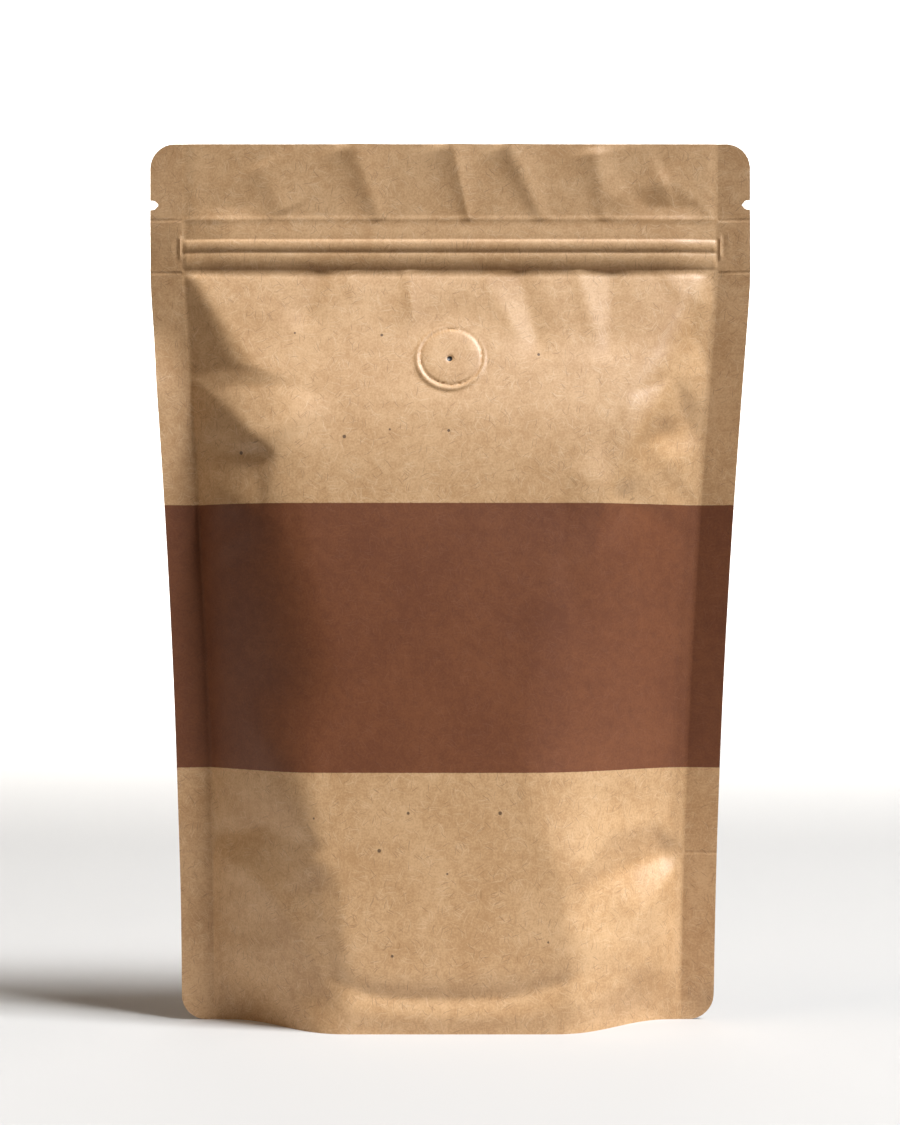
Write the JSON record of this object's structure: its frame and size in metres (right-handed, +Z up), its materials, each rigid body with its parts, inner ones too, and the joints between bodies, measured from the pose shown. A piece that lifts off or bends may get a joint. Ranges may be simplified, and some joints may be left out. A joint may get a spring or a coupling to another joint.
{
  "type": "stand-up coffee pouch",
  "caption": "Filled stand-up coffee pouch of brown paper laminate, with a press-to-close zip, tear notches, a degassing valve and a folded gusset in its base.",
  "frame": {"origin": "middle of the footprint, on the table that the pouch stands on", "axes": "+Z up towards the zip and the top edge, -Y out of the front panel with the valve, +X to the right seen from the front"},
  "size_m": [0.16, 0.0548, 0.233],
  "materials": {
    "kraft": "matt brown paper laminate with fine fibres, and a band printed in dark brown ink across the middle"
  },
  "bodies": {
    "root": {"pouch": "kraft"}
  },
  "joints": []
}
